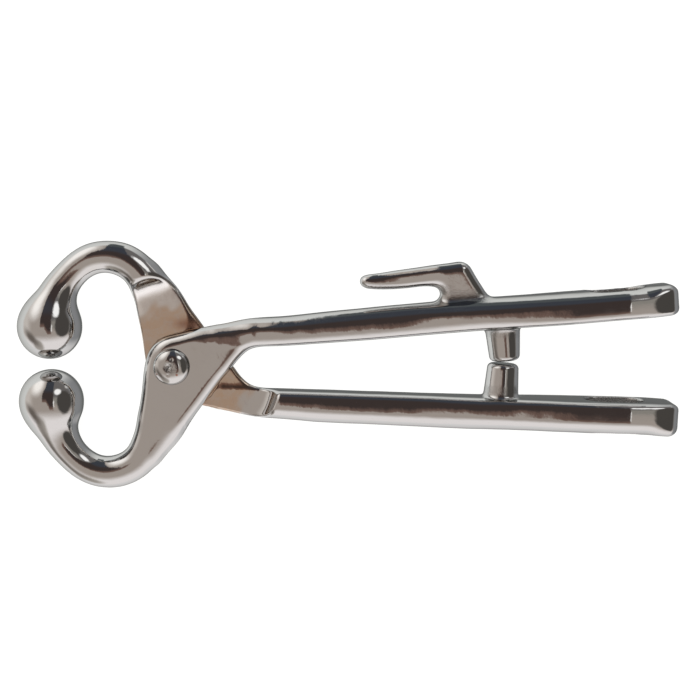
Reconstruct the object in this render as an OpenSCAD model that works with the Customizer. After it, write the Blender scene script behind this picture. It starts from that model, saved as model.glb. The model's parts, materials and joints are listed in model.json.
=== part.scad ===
// Nose tongs for cattle: two plated castings that cross at a rivet.
// Working frame of the tables: the rivet's axis is x = 0, y = 0, the lap face
// is z = 0, the handles run to +X, the hook is on the +Y side.
// row() only moves this: the row's origin is the middle of the box's underside,
// which is what the tongs lie on.

/* [Jaws] */
// Diameter of the ball at each jaw's tip
ball_d = 21.3; // [19:0.1:23]
// Space left between the balls when the stops meet
ball_gap = 3.6; // [2:0.1:6]
// Distance from the rivet's axis back to the balls' centres
ball_x = 41.1; // [40:0.1:42.5]

/* [Lap joint] */
// Radius of the turned lap seat round the rivet
lap_r = 30; // [28:0.5:31]
// Radius of the hollow where the lap seat runs out into the handle
lap_fillet = 5.5; // [4:0.25:6]
// Radius at which the lap seat starts to rise into the jaw's leg
leg_r = 22.4; // [22:0.1:30]
// Radius of the hollow where the lap seat rises into the jaw's leg
leg_fillet = 8.2; // [7.5:0.1:9]
// Thickness of one lap plate
plate_t = 5.7; // [5:0.1:6.5]
// Play between the two lap faces
lap_gap = 0.2; // [0.1:0.05:0.4]

/* [Rivet] */
// Diameter of the rivet's shank
rivet_d = 8; // [6:0.1:9]
// Diameter of the rivet's domed head
head_d = 12; // [11:0.1:14]
// Height of the domed head
head_h = 3.6; // [2.5:0.1:4.5]
// Diameter of the closed-up head on the back
tail_d = 12.6; // [11:0.1:14]
// Height of the closed-up head
tail_h = 2.6; // [2:0.1:3.5]
// Radial play of the front lever on the shank
pivot_play = 0.05; // [0.02:0.01:0.1]

/* [Handles] */
// Width of the handles at the eyes
grip_w = 21; // [19:0.1:23]
// Width of the handles next to the lap
neck_w = 12.6; // [10:0.1:14]
// Length of the rope eye
eye_l = 19.6; // [14:0.1:21]
// Width of the rope eye
eye_w = 11.8; // [7:0.1:13]
// Distance from the rivet to the eye's centre
eye_x = 147; // [145:0.5:148]

/* [Stops] */
// Diameter of a stop peg at its end
stop_d = 10.4; // [8:0.1:11.5]
// Draft of a stop peg, in degrees
stop_draft = 6; // [2:0.5:8]
// Distance from the rivet to the stops
stop_x = 110; // [106:0.5:114]

/* [Hook] */
// Width of the hook across the handle
hook_t = 8; // [6:0.1:10]

/* [Hidden] */

steel = "silver";
ball_r = ball_d / 2;
ball_y = ball_r + ball_gap / 2;
end_x = 167;                                  // tip of the handles
front_tilt = 4.75;                            // slope of the front lever's handle
rear_tilt = -2.1;                             // slope of the rear lever's handle
rear_long = 0.9;                              // the rear handle ends this much further out
row_shift = [-(end_x + rear_long - ball_x - 0.1 - ball_r) / 2, 0.25, max(ball_r, grip_w / 2)];

// ---- curves -------------------------------------------------------------
// Catmull-Rom through the rows of a table, n steps to each row.
function cr(a, b, c, d, t) =
    0.5 * (2 * b + (c - a) * t + (2 * a - 5 * b + 4 * c - d) * t * t
    + (3 * b - a - 3 * c + d) * t * t * t);
function smooth(T, n) = [
    for (i = [0 : len(T) - 2], k = [0 : n - 1])
        cr(T[max(i - 1, 0)], T[i], T[i + 1], T[min(i + 2, len(T) - 1)], k / n),
    T[len(T) - 1]];

// One rounded section: half height a, half width b, and how square each side is.
function power(v, n) = sign(v) * pow(abs(v), 2 / n);
function section(a, b, out, in, m) = [
    for (j = [0 : m - 1]) let (w = 360 * (j + 0.5) / m)
        [a * power(cos(w), cos(w) > 0 ? out : in), b * power(sin(w), cos(w) > 0 ? out : in)]];

// A bar swept through stations [x, y, half height, half width].
// Its outer side is to the left of the way that the stations run.
module bar(stations, out, in, m) {
    n = len(stations);
    rings = [for (i = [0 : n - 1])
        let (p = stations[i], d = stations[min(i + 1, n - 1)] - stations[max(i - 1, 0)],
             t = [d[0], d[1]] / norm([d[0], d[1]]))
        for (s = section(p[2], p[3], out, in, m))
            [p[0] - t[1] * s[0], p[1] + t[0] * s[0], s[1]]];
    sides = [for (i = [0 : n - 2], j = [0 : m - 1])
        let (a = i * m + j, b = i * m + (j + 1) % m)
        each [[a, a + m, b], [b, a + m, b + m]]];
    polyhedron(rings, concat(sides,
        [[for (j = [0 : m - 1]) j], [for (j = [m - 1 : -1 : 0]) (n - 1) * m + j]]), 4);
}

// ---- jaws ---------------------------------------------------------------
// Centre lines of the jaws from inside the ball, round the bow, to the lap:
// [x, y, half height, half width].
upper_jaw = [
    [-ball_x, ball_y + 0.2, 9.6, 9.6],
    [-40.4, 17.3, 8.8, 9.0],
    [-38.8, 21.7, 6.8, 7.3],
    [-36.8, 25.9, 5.75, 6.2],
    [-34.0, 29.7, 5.2, 5.7],
    [-30.6, 32.9, 5.1, 5.5],
    [-26.6, 35.1, 5.2, 5.5],
    [-22.0, 35.9, 5.3, 5.5],
    [-16.9, 35.1, 5.5, 5.5],
    [-12.4, 32.5, 5.6, 5.5],
    [-9.1, 28.7, 5.9, 5.6],
    [-6.3, 24.2, 6.7, 5.7],
    [-4.0, 19.6, 7.9, 5.7]];
lower_jaw = [
    [-ball_x - 0.1, -ball_y + 0.2, 9.6, 9.6],
    [-40.8, -17.2, 8.9, 9.0],
    [-39.5, -21.7, 7.0, 7.3],
    [-37.5, -26.2, 5.9, 6.2],
    [-34.7, -30.2, 5.3, 5.7],
    [-31.2, -33.5, 5.2, 5.5],
    [-27.0, -35.7, 5.2, 5.5],
    [-22.2, -36.4, 5.3, 5.5],
    [-17.2, -35.4, 5.4, 5.5],
    [-12.8, -32.7, 5.5, 5.5],
    [-9.5, -28.7, 5.8, 5.6],
    [-6.6, -24.2, 6.7, 5.7],
    [-4.3, -19.6, 7.9, 5.7]];

module jaw(T) {
    bar(smooth(T, 4), 2.2, 2.2, 24);
    translate([T[0][0], T[0][1], 0]) sphere(ball_r, $fn = 96);
}

// ---- lap plates ---------------------------------------------------------
// Each row is one line across the plate: [x, y] on its jaw side's edge and
// [x, y] on its other edge, from the jaw's leg to the handle.
front_rails = [
    [-13.0, -27.0, -6.4, -33.2], [-12.5, -22.5, -3.3, -29.6], [-11.8, -17.6, 0.4, -25.6],
    [-11, -12.4, 4.2, -20.4], [-10.3, -7, 8.2, -15.1], [-9.7, -2, 11.6, -10.6],
    [-8.8, 2.4, 14.4, -6.9], [-6.9, 6.3, 16.7, -4], [-4, 8.9, 18.6, -1.8],
    [0, 10.3, 20.1, 0.1], [5, 11.5, 21.5, 1.8], [10.5, 12.7, 23.1, 3.5],
    [16, 13.7, 24.9, 4.9], [22, 14.5, 27.4, 6.1], [28, 15.1, 30, 7]];
rear_rails = [
    [-13.0, 27.0, -6.4, 33.2], [-12.5, 22.5, -3.3, 29.8], [-11.8, 17.6, 0.4, 25.6],
    [-11, 12.4, 4.2, 20.2], [-10.3, 7, 8.2, 14.9], [-9.7, 2, 11.6, 10.1],
    [-8.8, -2.4, 14.3, 6.3], [-6.9, -6.5, 16.4, 3.1], [-4, -9.4, 18.2, 0.6],
    [0, -11.4, 19.9, -1.2], [5, -12.9, 21.4, -3.3], [10.5, -14.2, 23, -5.1],
    [16, -15.3, 24.9, -6.6], [22, -16.3, 27.4, -7.8], [28, -17.1, 30, -8.8]];
edge_r = 2.6;                                 // rounding of the plate's outer edge

// A plate that lies between two rails, flat on the lap face, rounded outside.
module plate(rails, side) {
    R = smooth(rails, 3);
    n = len(R);
    prof = concat([[0, lap_gap / 2]],
        [for (w = [0 : 22.5 : 90]) [edge_r * (1 - cos(w)), plate_t - edge_r * (1 - sin(w))]]);
    k = len(prof);
    m = 2 * k;
    rings = [for (i = [0 : n - 1])
        let (a = [R[i][0], R[i][1]], b = [R[i][2], R[i][3]], u = (b - a) / norm(b - a))
        for (j = [0 : m - 1])
            let (q = j < k ? prof[j] : prof[m - 1 - j],
                 e = j < k ? a + q[0] * u : b - q[0] * u)
            [e[0], e[1], side * q[1]]];
    up = side * cross([R[0][2] - R[0][0], R[0][3] - R[0][1]], [R[1][0] - R[0][0], R[1][1] - R[0][1]]) < 0;
    sides = [for (i = [0 : n - 2], j = [0 : m - 1])
        let (a = i * m + j, b = i * m + (j + 1) % m)
        each up ? [[a, b, a + m], [b, b + m, a + m]] : [[a, a + m, b], [b, a + m, b + m]]];
    head = [for (j = [0 : m - 1]) up ? m - 1 - j : j];
    tail = [for (j = [0 : m - 1]) (n - 1) * m + (up ? j : m - 1 - j)];
    polyhedron(rings, concat(sides, [head, tail]), 4);
}

// A turned seat of radius r about the rivet, with a hollow of radius f at its rim.
module seat(r, f)
    translate([0, 0, -lap_gap / 2])
        rotate_extrude($fn = 120)
            polygon(concat([[0, 0], [r, 0]],
                [for (w = [10 : 10 : 90]) [r + f * sin(w), f * (1 - cos(w))]],
                [[r + f, 20], [0, 20]]));

// What the lap takes away from an arm: one seat next to the handle, and one
// with a longer hollow next to the jaw, kept clear of the ball.
module lap_recess(side)
    rotate([side > 0 ? 0 : 180, 0, 0]) {
        difference() {
            seat(lap_r, lap_fillet);
            translate([-60, -60, -1]) cube([68.9, 120, 30]);
        }
        difference() {
            seat(leg_r, leg_fillet);
            translate([9, -60, -1]) cube([60, 120, 30]);
            translate([-60, -60, -1]) cube([38, 120, 30]);
        }
    }

// ---- handles ------------------------------------------------------------
// Half width of a handle at x: even as far as the hook's mouth, then it widens
// towards the eye and ends in a half oval.
nose = 12;
full_x = end_x - nose;
flare = [88, 136];
function ease(t) = t * t * (3 - 2 * t);
function wide(x) = neck_w / 2 + (grip_w - neck_w) / 2
    * ease(min(1, max(0, (x - flare[0]) / (flare[1] - flare[0]))));
// Centre lines [x, y, half height] as far as the nose.
front_grip = [[22, 10.4, 4.4], [36, 11.3, 4.9], [48, 12.3, 5.1], [60, 13.3, 5.3], [80, 15.1, 5.4],
    [96, 16.5, 5.4], [116, 18.0, 5.35], [132, 19.2, 5.3], [144, 20.2, 5.3], [full_x, 21.1, 5.3]];
rear_grip = [[22, -12.2, 4.4], [36, -13.2, 5], [48, -13.9, 5.3], [60, -14.4, 5.4],
    [80, -15.2, 5.5], [96, -15.8, 5.6], [116, -16.3, 5.6], [132, -16.8, 5.7], [144, -17.2, 5.8],
    [full_x, -17.5, 5.8]];

// The stations of a handle: along its table, then round its nose.
function grip_stations(T, tilt, long) = let (S = smooth(T, 3), e = S[len(S) - 1]) concat(
    [for (r = S) [r[0], r[1], r[2], wide(r[0])]],
    [for (w = [10, 20, 30, 40, 50, 59, 67, 74, 80, 85]) [e[0] + (nose + long) * sin(w),
        e[1] + (nose + long) * sin(w) * tan(tilt), e[2] - 2.2 * (1 - cos(max(0, w - 30) * 1.5)), wide(full_x) * cos(w)]]);

module grip(T, tilt, long, out, in) bar(grip_stations(T, tilt, long), out, in, 28);

// The rope eye: an oval way through the handle, square to its length.
module eye(y, tilt)
    translate([eye_x, y, 0]) rotate([0, 0, tilt]) rotate([90, 0, 0]) {
        for (s = [-1, 1]) translate([s * (eye_l - eye_w) / 2, 0, 0])
            cylinder(d = eye_w, h = 30, center = true, $fn = 64);
        cube([eye_l - eye_w, eye_w, 30], center = true);
    }

// A stop peg: drafted, with a rounded rim, standing on the inner face.
module stop(x, y, turn, h)
    translate([x, y, 0]) rotate([-90, 0, turn])
        rotate_extrude($fn = 64)
            polygon(concat([[0, 0]],
                [for (w = [0 : 22.5 : 90]) [stop_d / 2 - 1.1 + 1.1 * sin(w), 1.1 - 1.1 * cos(w)]],
                [[stop_d / 2 + (h - 1.1) * tan(stop_draft), h], [0, h]]));

// ---- hook ---------------------------------------------------------------
hook_outline = [
    [90, 19], [88.2, 20.6], [88.5, 22], [88.8, 23.4], [88.3, 24.9], [87, 26], [85, 26.4],
    [80, 25.9], [75, 25.4], [70, 25.2], [66, 25.3], [64, 25.6], [62.7, 26.4], [62.1, 27.8],
    [62.5, 28.9], [63.6, 29.8], [66, 30.2], [72, 31.1], [80, 32.2], [88, 33.3], [94, 34],
    [96.4, 34.2], [97.6, 33.7], [99.6, 30.8], [102, 27.2], [104.2, 24.2], [106, 22.6], [106, 19]];

module hook()
    translate([0, 0, -hook_t / 2]) linear_extrude(height = hook_t) polygon(hook_outline);

// ---- pieces -------------------------------------------------------------
module row() translate(row_shift) children();

module front_lever() color(steel) row()
    difference() {
        union() {
            jaw(lower_jaw);
            plate(front_rails, 1);
            grip(front_grip, front_tilt, 0, 2.3, 4);
            stop(stop_x + 0.4, 1.45, front_tilt, 12);
            hook();
        }
        lap_recess(-1);
        translate([0, 0, -1]) cylinder(d = rivet_d + 2 * pivot_play, h = 12, $fn = 96);
        eye(20.8, front_tilt);
    }

module rear_lever() color(steel) row()
    difference() {
        union() {
            jaw(upper_jaw);
            plate(rear_rails, -1);
            grip(rear_grip, rear_tilt, rear_long, 4, 2.3);
            stop(stop_x - 0.1, 0.45, 180 - 3.5, 12);
        }
        lap_recess(1);
        translate([0, 0, -11]) cylinder(d = rivet_d, h = 12, $fn = 96);
        eye(-17.6, rear_tilt);
    }

// Headed pin: a formed head on the back, the shank, and a domed head in front.
module pivot_rivet() color(steel) row()
    rotate_extrude($fn = 96)
        polygon(concat(
            [[0, -plate_t - tail_h]],
            [for (w = [10 : 10 : 80]) [tail_d / 2 * sin(w), -plate_t - tail_h * cos(w)]],
            [[tail_d / 2, -plate_t - 0.25], [tail_d / 2 - 0.25, -plate_t],
             [rivet_d / 2, -plate_t], [rivet_d / 2, plate_t + 0.1],
             [head_d / 2 - 0.25, plate_t + 0.1], [head_d / 2, plate_t + 0.35]],
            [for (w = [80 : -10 : 10]) [head_d / 2 * sin(w), plate_t + 0.1 + head_h * cos(w)]],
            [[0, plate_t + 0.1 + head_h]]));

front_lever();
rear_lever();
pivot_rivet();
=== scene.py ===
import bpy
import json
import math
import numpy as np
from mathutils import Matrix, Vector


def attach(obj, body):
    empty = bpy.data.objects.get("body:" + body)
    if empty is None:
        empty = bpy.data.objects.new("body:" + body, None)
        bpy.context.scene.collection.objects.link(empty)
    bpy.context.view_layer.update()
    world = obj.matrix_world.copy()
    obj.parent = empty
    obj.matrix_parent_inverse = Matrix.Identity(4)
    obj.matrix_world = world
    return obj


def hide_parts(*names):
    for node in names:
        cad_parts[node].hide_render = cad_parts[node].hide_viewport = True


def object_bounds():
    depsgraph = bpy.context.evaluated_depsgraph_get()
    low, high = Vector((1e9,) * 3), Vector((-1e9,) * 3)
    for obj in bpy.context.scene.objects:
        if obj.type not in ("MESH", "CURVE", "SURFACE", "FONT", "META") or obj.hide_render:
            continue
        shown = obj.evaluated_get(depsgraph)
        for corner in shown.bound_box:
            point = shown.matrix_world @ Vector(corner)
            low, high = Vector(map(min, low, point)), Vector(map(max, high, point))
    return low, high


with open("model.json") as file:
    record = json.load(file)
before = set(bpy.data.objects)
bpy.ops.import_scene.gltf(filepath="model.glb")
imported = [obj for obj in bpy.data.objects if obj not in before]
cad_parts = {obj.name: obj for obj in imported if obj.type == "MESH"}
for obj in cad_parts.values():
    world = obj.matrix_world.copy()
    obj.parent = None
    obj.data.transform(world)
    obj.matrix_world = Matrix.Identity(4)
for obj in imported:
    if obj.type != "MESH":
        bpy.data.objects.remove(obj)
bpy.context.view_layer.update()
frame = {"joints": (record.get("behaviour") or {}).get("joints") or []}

# ---------------------------------------------------------------------------
# Shapes are worked out in millimetres about the rivet's axis, with the lap
# face at z = 0, and are moved to the row frame when a mesh is made.
# ---------------------------------------------------------------------------
PIVOT = [j for j in frame["joints"] if j["name"] == "jaw_hinge"][0]["pos_m"]
CELL = 0.5

LAP_R, LAP_FILLET, PLATE_T, LAP = 30.0, 5.5, 5.7, 0.1
RAMP = 8.2                                      # the same hollow where it climbs onto the bow
BALL_R = 10.65
EYE_X, EYE_L, EYE_W = 147.0, 19.6, 11.8
END_X, NOSE = 167.0, 12.0
FULL_X = END_X - NOSE
TILT_F, TILT_R = math.radians(4.75), math.radians(-2.1)

UPPER_JAW = [
    [-41.1, 12.65, 7.4, 7.4], [-40.4, 17.3, 8.1, 8.2], [-38.8, 21.7, 6.9, 7.4],
    [-36.8, 25.9, 5.8, 6.2], [-34.0, 29.7, 5.2, 5.7], [-30.6, 32.9, 5.1, 5.5],
    [-26.6, 35.1, 5.2, 5.5], [-22.0, 35.9, 5.3, 5.5], [-16.9, 35.1, 5.5, 5.5],
    [-12.4, 32.5, 5.6, 5.5], [-9.1, 28.7, 5.9, 5.5], [-6.3, 24.2, 6.7, 5.2],
    [-4.0, 19.6, 7.6, 4.4], [-2.2, 15.0, 7.6, 3.4]]
LOWER_JAW = [
    [-41.2, -12.25, 7.4, 7.4], [-40.8, -17.2, 8.2, 8.2], [-39.5, -21.7, 7.0, 7.4],
    [-37.5, -26.2, 5.9, 6.2], [-34.7, -30.2, 5.3, 5.7], [-31.2, -33.5, 5.2, 5.5],
    [-27.0, -35.7, 5.2, 5.5], [-22.2, -36.4, 5.3, 5.5], [-17.2, -35.4, 5.4, 5.5],
    [-12.8, -32.7, 5.5, 5.5], [-9.5, -28.7, 5.8, 5.5], [-6.6, -24.2, 6.7, 5.2],
    [-4.3, -19.6, 7.6, 4.4], [-2.4, -15.0, 7.6, 3.4]]

FRONT_RAILS = [
    [-13.0, -27.0, -6.4, -33.2], [-12.5, -22.5, -3.3, -29.6], [-11.8, -17.6, 0.4, -25.6],
    [-11, -12.4, 4.2, -20.4], [-10.3, -7, 8.2, -15.1], [-9.7, -2, 11.6, -10.6],
    [-8.8, 2.4, 14.4, -6.9], [-6.9, 6.3, 16.7, -4], [-4, 8.9, 18.6, -1.8],
    [0, 10.3, 20.1, 0.1], [5, 11.5, 21.5, 1.8], [10.5, 12.7, 23.1, 3.5],
    [16, 13.2, 24.9, 5.1], [22, 13.5, 27.2, 6.7], [28, 13.4, 29.4, 8.4]]
REAR_RAILS = [
    [-13.0, 27.0, -6.4, 33.2], [-12.5, 22.5, -3.3, 29.8], [-11.8, 17.6, 0.4, 25.6],
    [-11, 12.4, 4.2, 20.2], [-10.3, 7, 8.2, 14.9], [-9.7, 2, 11.6, 10.1],
    [-8.8, -2.4, 14.3, 6.3], [-6.9, -6.5, 16.4, 3.1], [-4, -9.4, 18.2, 0.6],
    [0, -11.4, 19.9, -1.2], [5, -12.9, 21.4, -3.3], [10.5, -14.2, 23, -5.1],
    [16, -14.9, 24.9, -6.8], [22, -15.3, 27.2, -8.4], [28, -15.4, 29.4, -10.2]]

FRONT_GRIP = [[16, 9.2, 3.6], [22, 10.4, 4.4], [36, 11.3, 4.9], [48, 12.3, 5.1], [60, 13.3, 5.3],
    [80, 15.1, 5.4], [96, 16.5, 5.4], [116, 18.0, 5.35], [132, 19.2, 5.3], [144, 20.2, 5.3],
    [FULL_X, 21.1, 5.3], [END_X + 6, 22.6, 5.3]]
REAR_GRIP = [[16, -11.2, 3.6], [22, -12.2, 4.4], [36, -13.2, 5.0], [48, -13.9, 5.3], [60, -14.4, 5.4],
    [80, -15.2, 5.5], [96, -15.8, 5.6], [116, -16.3, 5.6], [132, -16.8, 5.7], [144, -17.2, 5.8],
    [FULL_X, -17.5, 5.8], [END_X + 6, -18.1, 5.8]]

HOOK = [
    [92, 17], [89.4, 19.2], [88.3, 21], [88.5, 22.6], [88.6, 24.0], [87.8, 25.4], [85.6, 26.2],
    [80, 25.9], [75, 25.4], [70, 25.2], [66, 25.3], [63.8, 25.7], [62.4, 26.8], [62.1, 28.1],
    [62.7, 29.2], [64.2, 29.9], [67, 30.3], [73, 31.2], [80, 32.2], [88, 33.3], [93, 33.95],
    [95.7, 34.15], [97.3, 33.6], [99.4, 30.9], [101.6, 27.4], [103.6, 24.4], [105, 21], [103, 17]]


# ---- smooth curves ---------------------------------------------------------
class Curve:
    """A C2 cubic spline through rows of numbers; the first two columns are x and y."""

    def __init__(self, rows, closed=False):
        P = np.array(rows, float)
        if closed:
            P = np.vstack([P, P[:1]])
        n = len(P) - 1
        h = np.linalg.norm(np.diff(P[:, :2], axis=0), axis=1)
        T = np.concatenate([[0], np.cumsum(h)])
        A = np.zeros((n + 1, n + 1))
        R = np.zeros_like(P)
        for i in range(1, n):
            A[i, i - 1], A[i, i], A[i, i + 1] = h[i - 1], 2 * (h[i - 1] + h[i]), h[i]
            R[i] = 6 * ((P[i + 1] - P[i]) / h[i] - (P[i] - P[i - 1]) / h[i - 1])
        if closed:
            A[0, 0], A[0, 1], A[0, n - 1] = 2 * (h[-1] + h[0]), h[0], h[-1]
            R[0] = 6 * ((P[1] - P[0]) / h[0] - (P[0] - P[n - 1]) / h[-1])
            A[n, 0], A[n, n] = 1, -1
        else:
            A[0, 0] = A[n, n] = 1
        self.M = np.linalg.solve(A, R)
        self.P, self.T, self.h, self.n, self.closed = P, T, h, n, closed
        self.L = T[-1]
        self.ts = np.linspace(0, self.L, int(self.L / 0.7) + 2)
        self.pts = self.at(self.ts)[0][:, :2]
        # which side is inside, for a closed curve
        x, y = self.pts[:-1, 0], self.pts[:-1, 1]
        self.turn = np.sign(np.sum(x * np.roll(y, -1) - y * np.roll(x, -1)))

    def at(self, t):
        if self.closed:
            t = np.mod(t, self.L)
        i = np.clip(np.searchsorted(self.T, t, side="right") - 1, 0, self.n - 1)
        h = self.h[i][:, None]
        a = (self.T[i + 1] - t)[:, None]
        b = (t - self.T[i])[:, None]
        P, M = self.P, self.M
        v = (M[i] * a**3 + M[i + 1] * b**3) / (6 * h) + (P[i] / h - M[i] * h / 6) * a + (P[i + 1] / h - M[i + 1] * h / 6) * b
        d1 = (-M[i] * a**2 + M[i + 1] * b**2) / (2 * h) - (P[i] / h - M[i] * h / 6) + (P[i + 1] / h - M[i + 1] * h / 6)
        d2 = (M[i] * a + M[i + 1] * b) / h
        return v, d1[:, :2], d2[:, :2]

    def near(self, x, y, m, cache, key):
        """Signed distance (left of the way it runs is positive) and the row of numbers at the nearest point,
        for the points that m picks out."""
        full = cache.setdefault(key, np.full(len(x), np.nan))
        x, y, t = x[m], y[m], full[m]
        new = np.flatnonzero(np.isnan(t))
        for k in range(0, len(new), 20000):
            s = new[k:k + 20000]
            d = (x[s, None] - self.pts[None, :, 0]) ** 2 + (y[s, None] - self.pts[None, :, 1]) ** 2
            t[s] = self.ts[np.argmin(d, axis=1)]
        for _ in range(3):
            v, d1, d2 = self.at(t)
            rx, ry = v[:, 0] - x, v[:, 1] - y
            f = rx * d1[:, 0] + ry * d1[:, 1]
            g = (d1**2).sum(1) + rx * d2[:, 0] + ry * d2[:, 1]
            g = np.where(g > 0.15, g, 1.0)
            t = t - np.clip(f / g, -1.0, 1.0)
            t = np.mod(t, self.L) if self.closed else np.clip(t, 0, self.L)
        full[m] = t
        v, d1, _ = self.at(t)
        rx, ry = x - v[:, 0], y - v[:, 1]
        side = d1[:, 0] * ry - d1[:, 1] * rx
        d = np.hypot(rx, ry)
        return np.where(side >= 0, d, -d), v, d1

    def inside(self, x, y, m, cache, key):
        d, v, d1 = self.near(x, y, m, cache, key)
        return -d * self.turn          # negative inside


# ---- blends between distances -------------------------------------------------
def smin(a, b, k):
    h = np.maximum(k - np.abs(a - b), 0.0) / k
    return np.minimum(a, b) - h * h * h * k / 6.0


def rmax(a, b, r):
    """Intersection whose outer edge has radius r."""
    return np.sqrt(np.maximum(a + r, 0) ** 2 + np.maximum(b + r, 0) ** 2) - r + np.minimum(np.maximum(a + r, b + r), 0)


def smax(a, b, k):
    return -smin(-a, -b, k)


def ease(x, a, b):
    t = np.clip((x - a) / (b - a), 0, 1)
    return t * t * t * (t * (6 * t - 15) + 10)


def oval(n, z, a, b, p):
    """Distance to the section |n/a|^p + |z/b|^p = 1, nearly true close to it."""
    u, v = np.abs(n) / a + 1e-6, np.abs(z) / b + 1e-6
    q = (u**p + v**p) ** (1 / p)
    g = q ** (1 - p) * np.sqrt((u ** (p - 1) / a) ** 2 + (v ** (p - 1) / b) ** 2)
    return (q - 1) / np.maximum(g, 1e-3)


# ---- gentle unevenness of the casting ------------------------------------------
def ripple(x, y, z, seed):
    """Slow, smooth waviness in mm, from a few sine fields of fixed phase."""
    rng = np.random.RandomState(seed)
    out = np.zeros_like(x)
    for wave, amp, count in ((30.0, 0.040, 5), (13.0, 0.017, 7), (6.5, 0.0065, 8)):
        for _ in range(count):
            d = rng.normal(size=3)
            d /= np.linalg.norm(d)
            k = 2 * np.pi / (wave * rng.uniform(0.75, 1.35))
            out += amp / math.sqrt(count) * np.sin(k * (d[0] * x + d[1] * y + d[2] * z) + rng.uniform(0, 6.28))
    return out


# ---- the levers -------------------------------------------------------------
def half_width(x):
    """Half width of a handle: even to the hook, then a straight flare with eased ends."""
    t = np.clip((x - 76) / 64, 0, 1)
    c = 0.16
    lo, hi = np.minimum(t, c), np.minimum(1 - t, c)
    mid = np.where(t < c, lo * lo / (2 * c), np.where(t > 1 - c, 1 - c - hi * hi / (2 * c), t - c / 2))
    return 6.3 + 4.2 * mid / (1 - c)


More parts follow.
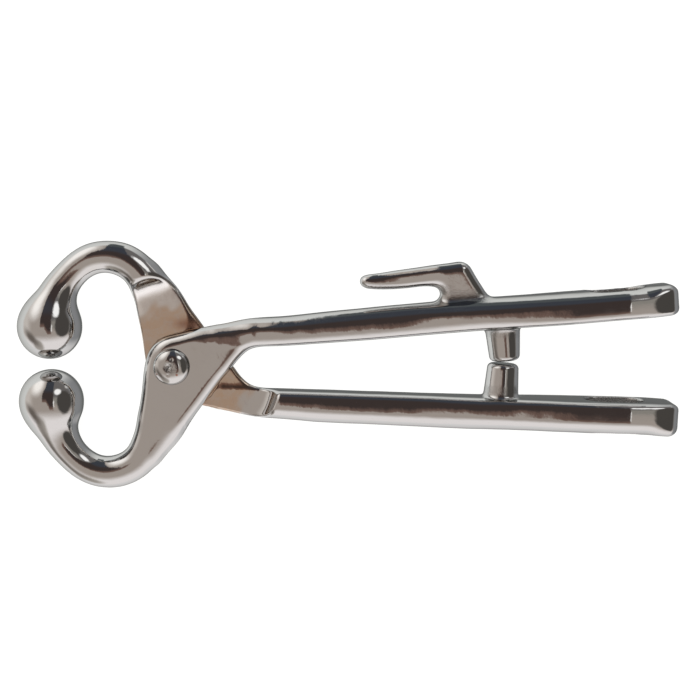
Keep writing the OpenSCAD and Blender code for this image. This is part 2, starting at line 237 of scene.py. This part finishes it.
class Lever:
    def __init__(self, up):
        self.up = up                                # True: rear lever, jaw above, handle below
        self.jaw = Curve(UPPER_JAW if up else LOWER_JAW)
        rails = REAR_RAILS if up else FRONT_RAILS
        loop = [r[:2] for r in rails] + [r[2:] for r in rails[::-1]]
        self.outline = Curve(loop, closed=True)
        self.grip = Curve(REAR_GRIP if up else FRONT_GRIP)
        self.hook = None if up else Curve(HOOK, closed=True)
        self.ball = (-41.1, 12.65) if up else (-41.2, -12.25)
        self.end = END_X + (0.9 if up else 0.0)
        self.side = -1 if up else 1                 # which half of the lap this plate is in
        self.out = -1 if up else 1                  # which way the handle's outer face looks
        self.tilt = TILT_R if up else TILT_F

    def distance(self, x, y, z, cache):
        far = np.full(x.shape, 40.0)
        up, side = self.up, self.side

        # jaw and ball
        d_jaw = far.copy()
        m = x < 16
        if m.any():
            n, v, _ = self.jaw.near(x, y, m, cache, "jaw")
            d_jaw[m] = oval(n, z[m], v[:, 2], v[:, 3], 2.15)
        bx, by = self.ball
        d_ball = np.sqrt((x - bx) ** 2 + (y - by) ** 2 + z**2) - BALL_R
        d = smin(d_jaw, d_ball, 4.0)

        # lap plate
        d_plate = far.copy()
        m = (x > -26) & (x < 42)
        if m.any():
            e = self.outline.inside(x, y, m, cache, "plate")
            zz = z[m] * side
            low = 1.9 * ease(np.abs(y[m]), 17, 31) * (x[m] < 4) + 0.3 * ease(x[m], 17, 26) + 1.3 * ease(x[m], 25, 33)
            if not up:
                low = low + 0.11 * np.maximum(0, y[m] - 8.6 + 0.1 * (x[m] - 5)) * ease(x[m], 1, 12)
            top = zz - (PLATE_T - low)
            bottom = LAP - zz
            r_right = 3.6
            r_left = 3.9
            r = r_left + (r_right - r_left) * ease(x[m] + (-y[m] if not up else y[m]) * 0.35, -3, 8)
            d_plate[m] = np.where(zz > 2.0, rmax(e, top, r), rmax(e, bottom, 0.9))
        # handle
        d_grip = far.copy()
        m = x > 8
        if m.any():
            n, v, t = self.grip.near(x, y, m, cache, "grip")
            n = n * self.out                        # positive towards the outer face
            a = v[:, 2]
            s = v[:, 0]
            b = half_width(s) * (0.66 + 0.34 * ease(s, 10, 38))
            # the faces break a little before the end, then fall away to a blunt nose
            out = s - self.end + 17.2
            b = b - 0.05 * (out + np.sqrt(out**2 + 0.12)) - 0.021 * np.maximum(s - self.end + 10.6, 0) ** 2
            zz = np.abs(z[m])
            boxy = ease(s, self.end - 12, self.end - 2)
            grown = ease(s, 96, 134)
            a_in = a * (1.22 - 0.1 * grown)
            p_out = 2.15 + 0.25 * grown + 2.0 * boxy
            p_in = 2.6 + 1.6 * grown + 1.6 * boxy
            u = np.where(n > 0, n / a, n / a_in)
            p = np.where(n > 0, p_out, p_in)
            body = oval(u * a, zz, a, b, p)
            flat = -n - a
            d_grip[m] = rmax(rmax(body, flat, 1.5 + 0.7 * boxy), s - self.end, 3.5)
        d = smin(d, d_plate, 4.0)
        d = smin(d, d_grip, 3.6)

        # hook on the front lever's outer face
        if self.hook is not None:
            m = (x > 55) & (x < 115) & (y > 10)
            if m.any():
                e = self.hook.inside(x, y, m, cache, "hook")
                hz = 2.9 + 1.3 * ease(x[m], 66, 92) + 0.17 * (y[m] - 28) * ease(x[m], 82, 91)
                dh = rmax(e, np.abs(z[m]) - hz, 2.4 + 0.9 * ease(x[m], 82, 92))
                d[m] = smin(d[m], dh, 3.4)

        # stop peg
        ax = np.array([-math.sin(self.tilt), math.cos(self.tilt)]) * (1 if not up else -1)
        px, py = (110.4, 1.45) if not up else (109.9, 0.45)
        if up:
            ang = math.radians(-3.5)
            ax = -np.array([-math.sin(ang), math.cos(ang)])
        m = (x > 96) & (x < 124)
        if m.any():
            dx, dy = x[m] - px, y[m] - py
            h = dx * ax[0] + dy * ax[1]
            across = -dx * ax[1] + dy * ax[0]
            rr = np.hypot(across, z[m])
            draft = math.radians(4.6 if not up else 4.2)
            r0 = 5.0 if not up else 5.1
            side_d = (rr - r0 - h * math.tan(draft)) * math.cos(draft)
            peg = rmax(side_d, -h, 1.5)
            peg = np.maximum(peg, h - 11.5)
            d[m] = smin(d[m], peg, 2.6)

        # rope eye
        m = x > 128
        if m.any():
            cy = 20.4 if not up else -17.3
            ex = (x[m] - EYE_X) * math.cos(self.tilt) + (y[m] - cy) * math.sin(self.tilt)
            hole = np.hypot(np.maximum(np.abs(ex) - (EYE_L - EYE_W) / 2, 0), z[m]) - EYE_W / 2
            d[m] = rmax(d[m], -hole, 0.65)

        # the other lever's half of the lap: a turned seat with a hollow at its rim
        rho = np.hypot(x, y)
        m = (rho < LAP_R + LAP_FILLET + 5) & (x > -24)
        zs = -z[m] * side
        wob = 0.35 * np.sin(3.1 * np.arctan2(y[m], x[m]) + 0.7)
        bow = 1 - ease(x[m], -6, 10)
        hollow = 8.2 + (RAMP - 8.2) * bow
        start = 28.2 + (22.4 - 28.2) * bow
        seat = rmax(rho[m] - start - hollow + wob * bow, -LAP - zs, hollow)
        d[m] = rmax(d[m], -seat, 0.9 + 0.5 * bow)

        # rivet hole
        m = rho < 9
        d[m] = np.maximum(d[m], (4.25 if not up else 4.0) - rho[m])
        return d

    def value(self, x, y, z, cache):
        d = self.distance(x, y, z, cache)
        # the lap faces are ground flat; everything else keeps the casting's unevenness
        rho = np.hypot(x, y)
        flat = (1 - ease(rho, 27, 31)) * (1 - ease(-z * self.side, -0.6, 0.4) * 0) * ease(0.9 - np.abs(z), 0, 0.8)
        return d + ripple(x, y, z, 11 if self.up else 29) * (1 - 0.75 * flat)


# ---- surface from distances ------------------------------------------------------
def surface(value, lo, hi, cell):
    """Closed quad mesh on value == 0: one vertex a cell, moved onto the surface."""
    lo, hi = np.array(lo, float), np.array(hi, float)
    N = np.ceil((hi - lo) / cell).astype(int) + 1
    # a coarse look first, so that only cells near the surface are worked out finely
    C = 6
    M = np.ceil((N - 1) / C).astype(int)
    N = M * C + 1
    cx = [lo[i] + (np.arange(M[i]) + 0.5) * C * cell for i in range(3)]
    X, Y, Z = np.meshgrid(*cx, indexing="ij")
    near = np.abs(value(X.ravel(), Y.ravel(), Z.ravel(), {})).reshape(M) < C * cell * 1.35
    F = np.full(N, 1.0, np.float32)
    G = np.zeros(N, bool)
    for i, j, k in np.argwhere(near):
        G[i * C:i * C + C + 1, j * C:j * C + C + 1, k * C:k * C + C + 1] = True
    # far cells only need the right sign
    X, Y, Z = np.meshgrid(*cx, indexing="ij")
    sign = np.sign(value(X.ravel(), Y.ravel(), Z.ravel(), {})).reshape(M)
    F[:-1, :-1, :-1] = np.repeat(np.repeat(np.repeat(sign, C, 0), C, 1), C, 2)
    I = np.argwhere(G)
    V = np.empty(len(I))
    for s in range(0, len(I), 400000):
        q = lo + I[s:s + 400000] * cell
        V[s:s + 400000] = value(q[:, 0], q[:, 1], q[:, 2], {})
    F[G] = V
    inside = F < 0
    # cells with both signs
    c = [inside[dx:N[0] - 1 + dx, dy:N[1] - 1 + dy, dz:N[2] - 1 + dz] for dx in (0, 1) for dy in (0, 1) for dz in (0, 1)]
    count = sum(a.astype(np.int8) for a in c)
    cells = np.argwhere((count > 0) & (count < 8))
    index = np.full(N - 1, -1, np.int64)
    index[tuple(cells.T)] = np.arange(len(cells))
    corner = np.array([[dx, dy, dz] for dx in (0, 1) for dy in (0, 1) for dz in (0, 1)])
    vals = np.stack([F[tuple((cells + k).T)] for k in corner], 1)
    acc = np.zeros((len(cells), 3))
    num = np.zeros(len(cells))
    for a in range(8):
        for b in range(a + 1, 8):
            if np.abs(corner[a] - corner[b]).sum() != 1:
                continue
            fa, fb = vals[:, a], vals[:, b]
            m = (fa < 0) != (fb < 0)
            t = np.where(m, fa / np.where(m, fa - fb, 1), 0)
            acc += m[:, None] * (corner[a] + t[:, None] * (corner[b] - corner[a]))
            num += m
    P = lo + (cells + acc / num[:, None]) * cell
    quads = []
    for ax in range(3):
        b, g = (ax + 1) % 3, (ax + 2) % 3
        s0 = [slice(0, N[i]) for i in range(3)]
        s1 = list(s0)
        s0[ax], s1[ax] = slice(0, N[ax] - 1), slice(1, N[ax])
        A, B = inside[tuple(s0)], inside[tuple(s1)]
        e = np.argwhere(A != B)
        e = e[(e[:, b] > 0) & (e[:, g] > 0) & (e[:, b] < N[b] - 1) & (e[:, g] < N[g] - 1)]
        flip = A[tuple(e.T)]
        o = np.zeros((4, 3), int)
        o[1, b] = o[2, b] = -1
        o[2, g] = o[3, g] = -1
        q = np.stack([index[tuple((e + k).T)] for k in o], 1)
        q[~flip] = q[~flip][:, ::-1]
        quads.append(q)
    Q = np.vstack(quads)
    # onto the surface
    cache = {}
    for step in range(4):
        f = value(P[:, 0], P[:, 1], P[:, 2], cache)
        e = 0.02
        g = np.stack([
            value(P[:, 0] + (e if i == 0 else 0), P[:, 1] + (e if i == 1 else 0), P[:, 2] + (e if i == 2 else 0), cache) - f
            for i in range(3)], 1) / e
        g2 = np.maximum((g**2).sum(1), 0.25)
        move = -(f / g2)[:, None] * g
        size = np.linalg.norm(move, axis=1)
        move *= np.minimum(1, 0.45 * cell / np.maximum(size, 1e-9))[:, None]
        P = P + move
        if step < 2:
            # even the vertices out along the surface
            nb = np.zeros_like(P)
            cn = np.zeros(len(P))
            for i in range(4):
                a, b = Q[:, i], Q[:, (i + 1) % 4]
                np.add.at(nb, a, P[b])
                np.add.at(nb, b, P[a])
                np.add.at(cn, a, 1)
                np.add.at(cn, b, 1)
            lap = nb / cn[:, None] - P
            nrm = g / np.maximum(np.linalg.norm(g, axis=1), 1e-6)[:, None]
            lap -= (lap * nrm).sum(1)[:, None] * nrm
            P = P + 0.45 * lap
    return P, Q


def make(name, P, Q, body, node, material, attrs=None):
    me = bpy.data.meshes.new(name)
    V = P / 1000.0 + np.array(PIVOT)
    me.vertices.add(len(V))
    me.vertices.foreach_set("co", V.astype(np.float32).ravel())
    me.loops.add(Q.size)
    me.loops.foreach_set("vertex_index", Q.astype(np.int32).ravel())
    me.polygons.add(len(Q))
    me.polygons.foreach_set("loop_start", (np.arange(len(Q)) * 4).astype(np.int32))
    me.polygons.foreach_set("use_smooth", np.ones(len(Q), bool))
    me.update(calc_edges=True)
    me.validate()
    for k, vals in (attrs or {}).items():
        at = me.attributes.new(k, "FLOAT", "POINT")
        at.data.foreach_set("value", vals.astype(np.float32))
    me.materials.append(material)
    ob = bpy.data.objects.new(name, me)
    bpy.context.scene.collection.objects.link(ob)
    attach(ob, body)
    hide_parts(node)
    return ob


# ---- node helpers ---------------------------------------------------------------
class N:
    """Short spelling for shader nodes: N(tree).math("ADD", a, b) and so on."""

    def __init__(self, tree):
        self.t = tree
        tree.nodes.clear()

    def new(self, kind, **kw):
        n = self.t.nodes.new(kind)
        for k, v in kw.items():
            setattr(n, k, v)
        return n

    def put(self, socket, v):
        if v is None:
            return
        if hasattr(v, "is_output") or isinstance(v, bpy.types.NodeSocket):
            self.t.links.new(v, socket)
        else:
            socket.default_value = v

    def math(self, op, a, b=None, c=None, clamp=False):
        n = self.new("ShaderNodeMath", operation=op, use_clamp=clamp)
        for i, v in enumerate((a, b, c)):
            self.put(n.inputs[i], v) if v is not None else None
        return n.outputs[0]

    def step(self, x, lo, hi, to0=0.0, to1=1.0):
        n = self.new("ShaderNodeMapRange", interpolation_type="SMOOTHSTEP")
        self.put(n.inputs[0], x)
        n.inputs[1].default_value, n.inputs[2].default_value = lo, hi
        n.inputs[3].default_value, n.inputs[4].default_value = to0, to1
        return n.outputs[0]

    def mix(self, f, a, b):
        n = self.new("ShaderNodeMix", data_type="RGBA")
        self.put(n.inputs[0], f)
        self.put(n.inputs[6], a)
        self.put(n.inputs[7], b)
        return n.outputs[2]

    def noise(self, co, scale, detail=3.0, rough=0.5, distort=0.0):
        n = self.new("ShaderNodeTexNoise")
        self.put(n.inputs["Vector"], co)
        n.inputs["Scale"].default_value = scale
        n.inputs["Detail"].default_value = detail
        n.inputs["Roughness"].default_value = rough
        n.inputs["Distortion"].default_value = distort
        return n.outputs[0]


def rgb(r, g, b):
    """An 8-bit screen colour as linear light."""
    f = lambda v: v / 255 / 12.92 if v / 255 <= 0.04045 else ((v / 255 + 0.055) / 1.055) ** 2.4
    return (f(r), f(g), f(b), 1.0)


def seen(r, g, b, base=0.60):
    """Light that looks like this screen colour after one bounce off the plating."""
    c = rgb(r, g, b)
    return (c[0] / base, c[1] / base, c[2] / base, 1.0)


# ---- plating -------------------------------------------------------------------
def plating(name, tint, bump=1.0, hammered=False):
    mat = bpy.data.materials.new(name)
    mat.use_nodes = True
    k = N(mat.node_tree)
    out = k.new("ShaderNodeOutputMaterial")
    bs = k.new("ShaderNodeBsdfPrincipled")
    k.t.links.new(bs.outputs[0], out.inputs[0])
    bs.inputs["Metallic"].default_value = 1.0
    bs.inputs["Specular Tint"].default_value = (0.55, 0.55, 0.54, 1)
    co = k.new("ShaderNodeTexCoord").outputs["Object"]
    cast = k.new("ShaderNodeAttribute", attribute_name="cast").outputs["Fac"]
    rust_and_painted_shade = k.new("ShaderNodeAttribute", attribute_name="rust_and_painted_shade").outputs["Fac"]
    tan = k.new("ShaderNodeAttribute", attribute_name="tan").outputs["Fac"]
    painted_highlight = k.new("ShaderNodeAttribute", attribute_name="painted_highlight").outputs["Fac"]
    # colour: cool bright plating with faint warm stains, browner in the unpolished hollows; the open lap seat also
    # gets a painted tan reflection, a painted highlight and painted shade
    stain = k.step(k.noise(co, 55.0, 5.0, 0.62, 0.4), 0.52, 0.78)
    fine = k.step(k.noise(co, 900.0, 4.0, 0.7), 0.66, 0.80)
    c = k.mix(k.math("MULTIPLY", stain, 0.35), tint, (tint[0] * 0.93, tint[1] * 0.90, tint[2] * 0.85, 1))
    c = k.mix(k.math("MULTIPLY", fine, 0.28), c, (tint[0] * 0.62, tint[1] * 0.58, tint[2] * 0.52, 1))
    grain = k.noise(co, 2600.0, 3.0, 0.6)
    c = k.mix(k.math("MULTIPLY", cast, k.step(grain, 0.35, 0.7, 0.15, 0.6)), c, (0.30, 0.30, 0.29, 1))
    reflection_mottle = k.step(k.noise(co, 420.0, 6.0, 0.7, 0.6), 0.25, 0.75)
    # painted reflection: a mottled tan on the lap seat stands in for the warm surroundings mirrored there
    c = k.mix(k.math("MULTIPLY", tan, k.step(reflection_mottle, 0.0, 1.0, 0.62, 1.0)), c, (0.62, 0.46, 0.335, 1))
    # painted highlight: a whiter base on the seat near the bow brightens what the flat mirrors
    c = k.mix(painted_highlight, c, (1.0, 0.995, 0.985, 1))
    # real rust on the rivet, and painted shade in the same colour on the seat by the other plate's edge
    c = k.mix(rust_and_painted_shade, c, (0.36, 0.105, 0.035, 1))
    k.put(bs.inputs["Base Color"], c)
    # roughness: polished, hazier where stained and in the cast hollows
    r = k.math("ADD", k.step(k.noise(co, 140.0, 4.0, 0.6), 0.35, 0.75, 0.035, 0.105), k.math("MULTIPLY", fine, 0.10))
    r = k.math("ADD", r, k.math("MULTIPLY", cast, 0.20))
    r = k.math("ADD", r, k.math("MULTIPLY", painted_highlight, 0.27))
    r = k.math("ADD", r, k.math("MULTIPLY", rust_and_painted_shade, 0.35), clamp=True)
    k.put(bs.inputs["Roughness"], r)
    # relief: slow orange peel, short ripples, and grain where the casting shows
    b1 = k.new("ShaderNodeBump")
    b1.inputs["Strength"].default_value = 1.0
    b1.inputs["Distance"].default_value = 0.000055 * bump
    k.put(b1.inputs["Height"], k.noise(co, 160.0, 2.0, 0.5, 0.3))
    b2 = k.new("ShaderNodeBump")
    b2.inputs["Strength"].default_value = 1.0
    b2.inputs["Distance"].default_value = 0.0000150 * bump
    k.put(b2.inputs["Height"], k.noise(co, 620.0, 3.0, 0.6, 0.5))
    k.put(b2.inputs["Normal"], b1.outputs[0])
    b3 = k.new("ShaderNodeBump")
    b3.inputs["Distance"].default_value = 0.00009
    k.put(b3.inputs["Strength"], k.math("MULTIPLY", cast, 0.9))
    k.put(b3.inputs["Height"], grain)
    k.put(b3.inputs["Normal"], b2.outputs[0])
    k.put(bs.inputs["Normal"], b3.outputs[0])
    return mat


TINT = (0.60, 0.598, 0.594, 1)
mat_lever = plating("lever_plating", TINT)
mat_rivet = plating("rivet_plating", (0.60, 0.597, 0.59, 1), 1.6)


# ---- build the levers ---------------------------------------------------------------
def cast_marks(P, lever):
    """Where the casting's grain was left: eye walls, hook root, foot of the stop."""
    x, y, z = P.T
    up = lever.up
    cy = 20.4 if not up else -17.3
    ex = (x - EYE_X) * math.cos(lever.tilt) + (y - cy) * math.sin(lever.tilt)
    hole = np.hypot(np.maximum(np.abs(ex) - (EYE_L - EYE_W) / 2, 0), z) - EYE_W / 2
    c = np.where(x > 128, 1 - ease(hole, 0.15, 0.9), 0)
    px, py = (109.7, 11.2) if not up else (109.6, -8.2)
    ring = np.abs(np.hypot(x - px, z) - 6.6)
    c = np.maximum(c, 0.75 * (1 - ease(ring, 0.4, 1.7)) * (1 - ease(np.abs(y - py), 1.0, 2.4)))
    if not up:
        root = (1 - ease(np.abs(x - 96), 7.5, 10.5)) * ease(y, 20.5, 22.5) * (1 - ease(y, 24.0, 26.5))
        under = (1 - ease(np.abs(x - 78), 12, 17)) * ease(y, 21.5, 23) * (1 - ease(y, 26.2, 27.4)) * 0.7
        c = np.maximum(c, np.maximum(root * 0.8, under))
    return c


def seat_painted_light(P, lever):
    """The open parts of the lap seat: a painted highlight near the bow, a painted tan reflection towards the rivet,
    and painted shade next to the other plate's edge.
    """
    x, y, z = P.T
    rho = np.hypot(x, y)
    on = (1 - ease(np.abs(z), 0.25, 3.0)) * (1 - ease(rho, 28.5, 31))
    far = rho + 1.2 * np.sin(0.55 * x + 0.4 * y) + 0.7 * np.sin(1.3 * x - 0.9 * y)
    bow = 1 - ease(x, -2, 6)
    # painted highlight on the seat near the bow
    painted_highlight = 0.7 * on * bow * ease(far, 17.5, 23.5)
    # painted tan reflection on the seat towards the rivet
    tan = on * (1 - ease(far, 17.5 + 6 * ease(x, 4, 12), 22.5 + 6 * ease(x, 4, 12))) * 0.85
    # painted shade where the other plate's side wall darkens the seat
    painted_shade = on * 0.55 * np.exp(-((x - 5.5) / 5.0) ** 2 - ((np.abs(y) - 13.6) / 1.9) ** 2)
    return tan, painted_highlight, painted_shade


BOX = {True: ((-54, -26, -13), (170, 44, 13)), False: ((-54, -44, -13), (170, 37, 13))}
for up in (True, False):
    lever = Lever(up)
    lo, hi = BOX[up]
    P, Q = surface(lever.value, lo, hi, CELL)
    # the seat gets its painted tan reflection, painted highlight and painted shade as vertex attributes
    make("rear_lever_casting" if up else "front_lever_casting", P, Q,
         "rear_arm" if up else "front_arm", "rear_lever" if up else "front_lever",
         mat_lever, dict(zip(("tan", "painted_highlight", "rust_and_painted_shade"), seat_painted_light(P, lever)),
                                          cast=cast_marks(P, lever)))


# ---- the rivet ------------------------------------------------------------------------
def rivet():
    seg = 144
    prof = []
    # back head, from its pole outwards
    H, R = 2.6, 6.25
    for i in range(1, 26):
        r = R * i / 25 if i < 25 else R
        prof.append((r, -PLATE_T - 0.22 - (H - 0.22) * (1 - (r / R) ** 2.3) ** 0.62))
    prof += [(R - 0.02, -PLATE_T - 0.1), (R - 0.15, -PLATE_T + 0.05), (4.6, -PLATE_T + 0.05), (4.0, -PLATE_T + 0.05)]
    prof += [(4.0, z) for z in np.linspace(-PLATE_T + 0.6, PLATE_T - 0.4, 10)]
    R, H = 6.0, 3.55
    prof += [(4.0, PLATE_T + 0.08), (5.0, PLATE_T + 0.08), (R - 0.2, PLATE_T + 0.08), (R - 0.03, PLATE_T + 0.22), (R, PLATE_T + 0.45)]
    n0 = len(prof)
    for i in range(1, 40):
        r = R * (1 - i / 40)
        prof.append((r, PLATE_T + 0.45 + (H - 0.45) * (1 - (r / R) ** 2.15) ** 0.55))
    prof = np.array(prof)
    ang = np.linspace(0, 2 * np.pi, seg, endpoint=False)
    rr, zz = prof[:, 0][:, None], prof[:, 1][:, None]
    X, Y = rr * np.cos(ang), rr * np.sin(ang)
    Z = zz + 0 * ang[None]
    # hammer marks: the dome is a little lopsided and dented near its middle
    rng = np.random.RandomState(5)
    top = np.arange(len(prof))[:, None] >= n0
    bot = np.arange(len(prof))[:, None] < 25
    for m, sgn, seeds in ((top, 1, 9), (bot, -1, 9)):
        dz = np.zeros_like(Z)
        for _ in range(seeds):
            a, d = rng.uniform(0, 6.28), rng.uniform(0.2, 3.1)
            w = rng.uniform(0.5, 1.3)
            dz -= rng.uniform(0.08, 0.26) * np.exp(-((X - d * np.cos(a)) ** 2 + (Y - d * np.sin(a)) ** 2) / w**2)
        dz -= 0.32 * np.exp(-((X + 0.1) ** 2 + (Y + 0.1) ** 2) / 3.2)
        dz += 0.10 * (X / 6) + 0.05 * (Y / 6)
        dz *= 1 - ease(rr, 4.6, 5.9)
        Z = Z + np.where(m, sgn * dz, 0)
    grow = 1 + np.where(top | bot, 1, 0) * (0.012 * np.sin(2 * ang + 0.8) + 0.008 * np.sin(3 * ang + 2.1)) * ease(rr, 3, 6)
    grow = np.where(rr > 5.4, grow, 1)
    V = np.stack([X * grow, Y * grow, Z], -1).reshape(-1, 3)
    m = len(prof)
    V = np.vstack([V, [0, 0, V[:seg, 2].mean()], [0, 0, V[(m - 1) * seg:, 2].mean()]])
    faces = []
    for i in range(m - 1):
        for j in range(seg):
            a, b = i * seg + j, i * seg + (j + 1) % seg
            faces.append((a, b, b + seg, a + seg))
    for j in range(seg):
        faces.append((len(V) - 2, (j + 1) % seg, j))
        faces.append((len(V) - 1, (m - 1) * seg + j, (m - 1) * seg + (j + 1) % seg))
    me = bpy.data.meshes.new("pivot_rivet_head")
    me.from_pydata([tuple(v / 1000.0 + np.array(PIVOT)) for v in V], [], faces)
    me.validate()
    me.polygons.foreach_set("use_smooth", np.ones(len(me.polygons), bool))
    # real rust spots on the dome; the same channel carries painted shade on the lap seat
    r = np.hypot(V[:, 0] - 2.1, V[:, 1] + 2.3)
    rust_and_painted_shade = 0.85 * (1 - ease(r, 0.15, 0.55)) * (V[:, 2] > 5)
    r = np.hypot(V[:, 0] + 4.6, V[:, 1] + 2.2)
    rust_and_painted_shade = np.maximum(rust_and_painted_shade, 0.5 * (1 - ease(r, 0.1, 0.5)) * (V[:, 2] > 5))
    cast = (1 - ease(np.hypot(V[:, 0] + 0.1, V[:, 1] - 0.1), 1.4, 2.9)) * (V[:, 2] > 5)
    for k2, vals in (("cast", cast), ("rust_and_painted_shade", rust_and_painted_shade)):
        at = me.attributes.new(k2, "FLOAT", "POINT")
        at.data.foreach_set("value", vals.astype(np.float32))
    me.materials.append(mat_rivet)
    ob = bpy.data.objects.new("pivot_rivet_plated", me)
    bpy.context.scene.collection.objects.link(ob)
    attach(ob, "rear_arm")
    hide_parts("pivot_rivet")


rivet()

# ---- floor ---------------------------------------------------------------------------
lo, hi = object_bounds()
me = bpy.data.meshes.new("floor")
S = 6.0
me.from_pydata([(-S, -S, 0), (S, -S, 0), (S, S, 0), (-S, S, 0)], [], [(0, 1, 2, 3)])
floor = bpy.data.objects.new("floor", me)
floor.location.z = -0.0002
bpy.context.scene.collection.objects.link(floor)
floor.visible_glossy = False                    # the surroundings hold the table as the plating sees it
mat = bpy.data.materials.new("floor_white")
mat.use_nodes = True
bs = mat.node_tree.nodes["Principled BSDF"]
bs.inputs["Base Color"].default_value = (0.22, 0.22, 0.218, 1)
bs.inputs["Roughness"].default_value = 0.9
bs.inputs["Specular IOR Level"].default_value = 0.0
bs.inputs["Emission Color"].default_value = (1.0, 1.0, 0.99, 1)
bs.inputs["Emission Strength"].default_value = 0.93
me.materials.append(mat)

# ---- surroundings ----------------------------------------------------------------------
world = bpy.data.worlds.new("studio")
bpy.context.scene.world = world
world.use_nodes = True
k = N(world.node_tree)
out = k.new("ShaderNodeOutputWorld")
bg = k.new("ShaderNodeBackground")
k.t.links.new(bg.outputs[0], out.inputs[0])
sep = k.new("ShaderNodeSeparateXYZ")
k.put(sep.inputs[0], k.new("ShaderNodeTexCoord").outputs["Generated"])
dx, dy, dz = sep.outputs
# where a ray goes, in degrees from straight up: u towards +X, v towards +Y
away = k.math("MULTIPLY", k.math("ARCCOSINE", dz), 57.29578)
flat = k.math("MAXIMUM", k.math("SQRT", k.math("ADD", k.math("MULTIPLY", dx, dx), k.math("MULTIPLY", dy, dy))), 1e-5)
u = k.math("MULTIPLY", away, k.math("DIVIDE", dx, flat))
v = k.math("MULTIPLY", away, k.math("DIVIDE", dy, flat))


def patch(cu, cv, ru, rv, turn=0.0, soft=0.35):
    """A soft-edged oval in the surroundings: 1 inside, 0 outside."""
    ct, st = math.cos(math.radians(turn)), math.sin(math.radians(turn))
    a = k.math("MULTIPLY_ADD", u, ct / ru, -cu * ct / ru)
    a = k.math("ADD", a, k.math("MULTIPLY_ADD", v, st / ru, -cv * st / ru))
    b = k.math("MULTIPLY_ADD", v, ct / rv, -cv * ct / rv)
    b = k.math("ADD", b, k.math("MULTIPLY_ADD", u, -st / rv, cu * st / rv))
    r = k.math("SQRT", k.math("ADD", k.math("MULTIPLY", a, a), k.math("MULTIPLY", b, b)))
    return k.step(r, 1 - soft, 1 + soft, 1, 0)


col = seen(151, 142, 135)                                             # a taupe ceiling
col = k.mix(k.step(u, -78, -50, 1, 0), col, seen(186, 179, 173))      # lighter wall towards -X
col = k.mix(k.step(v, -56, -22, 1, 0), col, seen(216, 211, 210))      # window light from -Y
col = k.mix(patch(-36, -66, 18, 24), col, seen(158, 152, 146))
col = k.mix(patch(-58, -37, 33, 13, -49, 0.7), col, seen(98, 91, 85))     # furniture
col = k.mix(k.math("MULTIPLY", k.step(u, 8, 18), k.step(v, -14, 4)), col, seen(128, 124, 118))
col = k.mix(k.math("MULTIPLY", k.step(u, 28, 44), k.step(v, -34, -16)), col, seen(104, 101, 98))
col = k.mix(k.math("MULTIPLY", k.step(u, 12, 18), k.step(v, 16, 26)), col, seen(98, 95, 94))
col = k.mix(patch(58, 4, 28, 42, 0, 0.14), col, seen(66, 63, 60))      # a dark doorway towards +X
col = k.mix(patch(33, 42, 13, 11, 30, 0.3), col, (1.45, 1.44, 1.43, 1))
col = k.mix(patch(76, 72, 17, 12, 40, 0.3), col, seen(214, 211, 207))
col = k.mix(patch(-46, 64, 22, 34, -8, 0.6), col, seen(240, 236, 232))    # the big soft window
# the table, seen in the undersides: darker where the tongs shade it, towards +X
under = k.mix(k.step(k.math("DIVIDE", u, away), 0.15, 0.8), seen(199, 200, 198), seen(126, 127, 129))
under = k.mix(k.step(k.math("DIVIDE", v, away), -0.95, -0.5, 1, 0), under, seen(207, 205, 205))
under = k.mix(k.step(away, 140, 160), under, seen(116, 118, 118))
col = k.mix(k.step(away, 87, 99), col, under)
# the dark figure of whoever holds the camera, standing towards +Y
left = k.math("SUBTRACT", u, k.step(v, 25, 62, -22, -13))
right = k.math("SUBTRACT", 16.5, u)
foot = k.math("MINIMUM", k.math("MAXIMUM", k.math("MULTIPLY_ADD", u, -1.9, -13.2), -22.0), 3.0)
above = k.math("SUBTRACT", v, foot)
dark = k.math("MULTIPLY", k.step(left, -1.6, 1.6), k.step(right, -2, 2))
dark = k.math("MULTIPLY", dark, k.step(above, -2.5, 2.5))
dark = k.math("MULTIPLY", dark, k.step(v, 106, 118, 1, 0))
tone = k.mix(k.step(above, 1, 16), seen(104, 84, 76), seen(56, 48, 46))
tone = k.mix(k.step(v, 30, 54), tone, seen(55, 58, 65))
tone = k.mix(k.step(v, 76, 92), tone, seen(72, 76, 78))
spot = k.math("MULTIPLY", k.step(u, 15.5, 17.5), k.step(u, 18.3, 20.0, 1, 0))
spot = k.math("MULTIPLY", spot, k.math("MULTIPLY", k.step(v, -16, -10), k.step(v, 4, 14, 1, 0)))
col = k.mix(spot, col, seen(232, 229, 226))
col = k.mix(dark, col, tone)
k.put(bg.inputs[0], col)
bg.inputs[1].default_value = 1.0

# ---- soft lights -----------------------------------------------------------------------
def soft(name, at, aim, size, watts):
    la = bpy.data.lights.new(name, "AREA")
    la.shape, la.size, la.energy = "DISK", size, watts
    ob = bpy.data.objects.new(name, la)
    ob.location = at
    ob.rotation_mode = "QUATERNION"
    ob.rotation_quaternion = (Vector(aim) - Vector(at)).to_track_quat("-Z", "Y")
    ob.visible_glossy = False
    bpy.context.scene.collection.objects.link(ob)


soft("soft_top", (-0.15, 0.25, 1.3), (0, 0, 0), 1.2, 9.0)

# ---- camera ------------------------------------------------------------------------------
TIP, FAR = math.radians(6.9), 0.430
aim = np.array(PIVOT) + np.array([0.0588, 0.0049, 0.0])
back = np.array([0.0, math.sin(TIP), math.cos(TIP)])
cam = bpy.data.cameras.new("camera")
cam.sensor_width = 36.0
cam.lens = 36.0 * FAR / 0.23333
cam.clip_start, cam.clip_end = 0.05, 20
cam_ob = bpy.data.objects.new("camera", cam)
cam_ob.location = aim + back * FAR
z = Vector(back)
x = Vector((1, 0, 0))
y = z.cross(x)
from mathutils import Matrix
cam_ob.matrix_world = Matrix.Translation(cam_ob.location) @ Matrix((x, y, z)).transposed().to_4x4()
bpy.context.scene.collection.objects.link(cam_ob)
bpy.context.scene.camera = cam_ob
bpy.context.scene.view_settings.view_transform = "Standard"
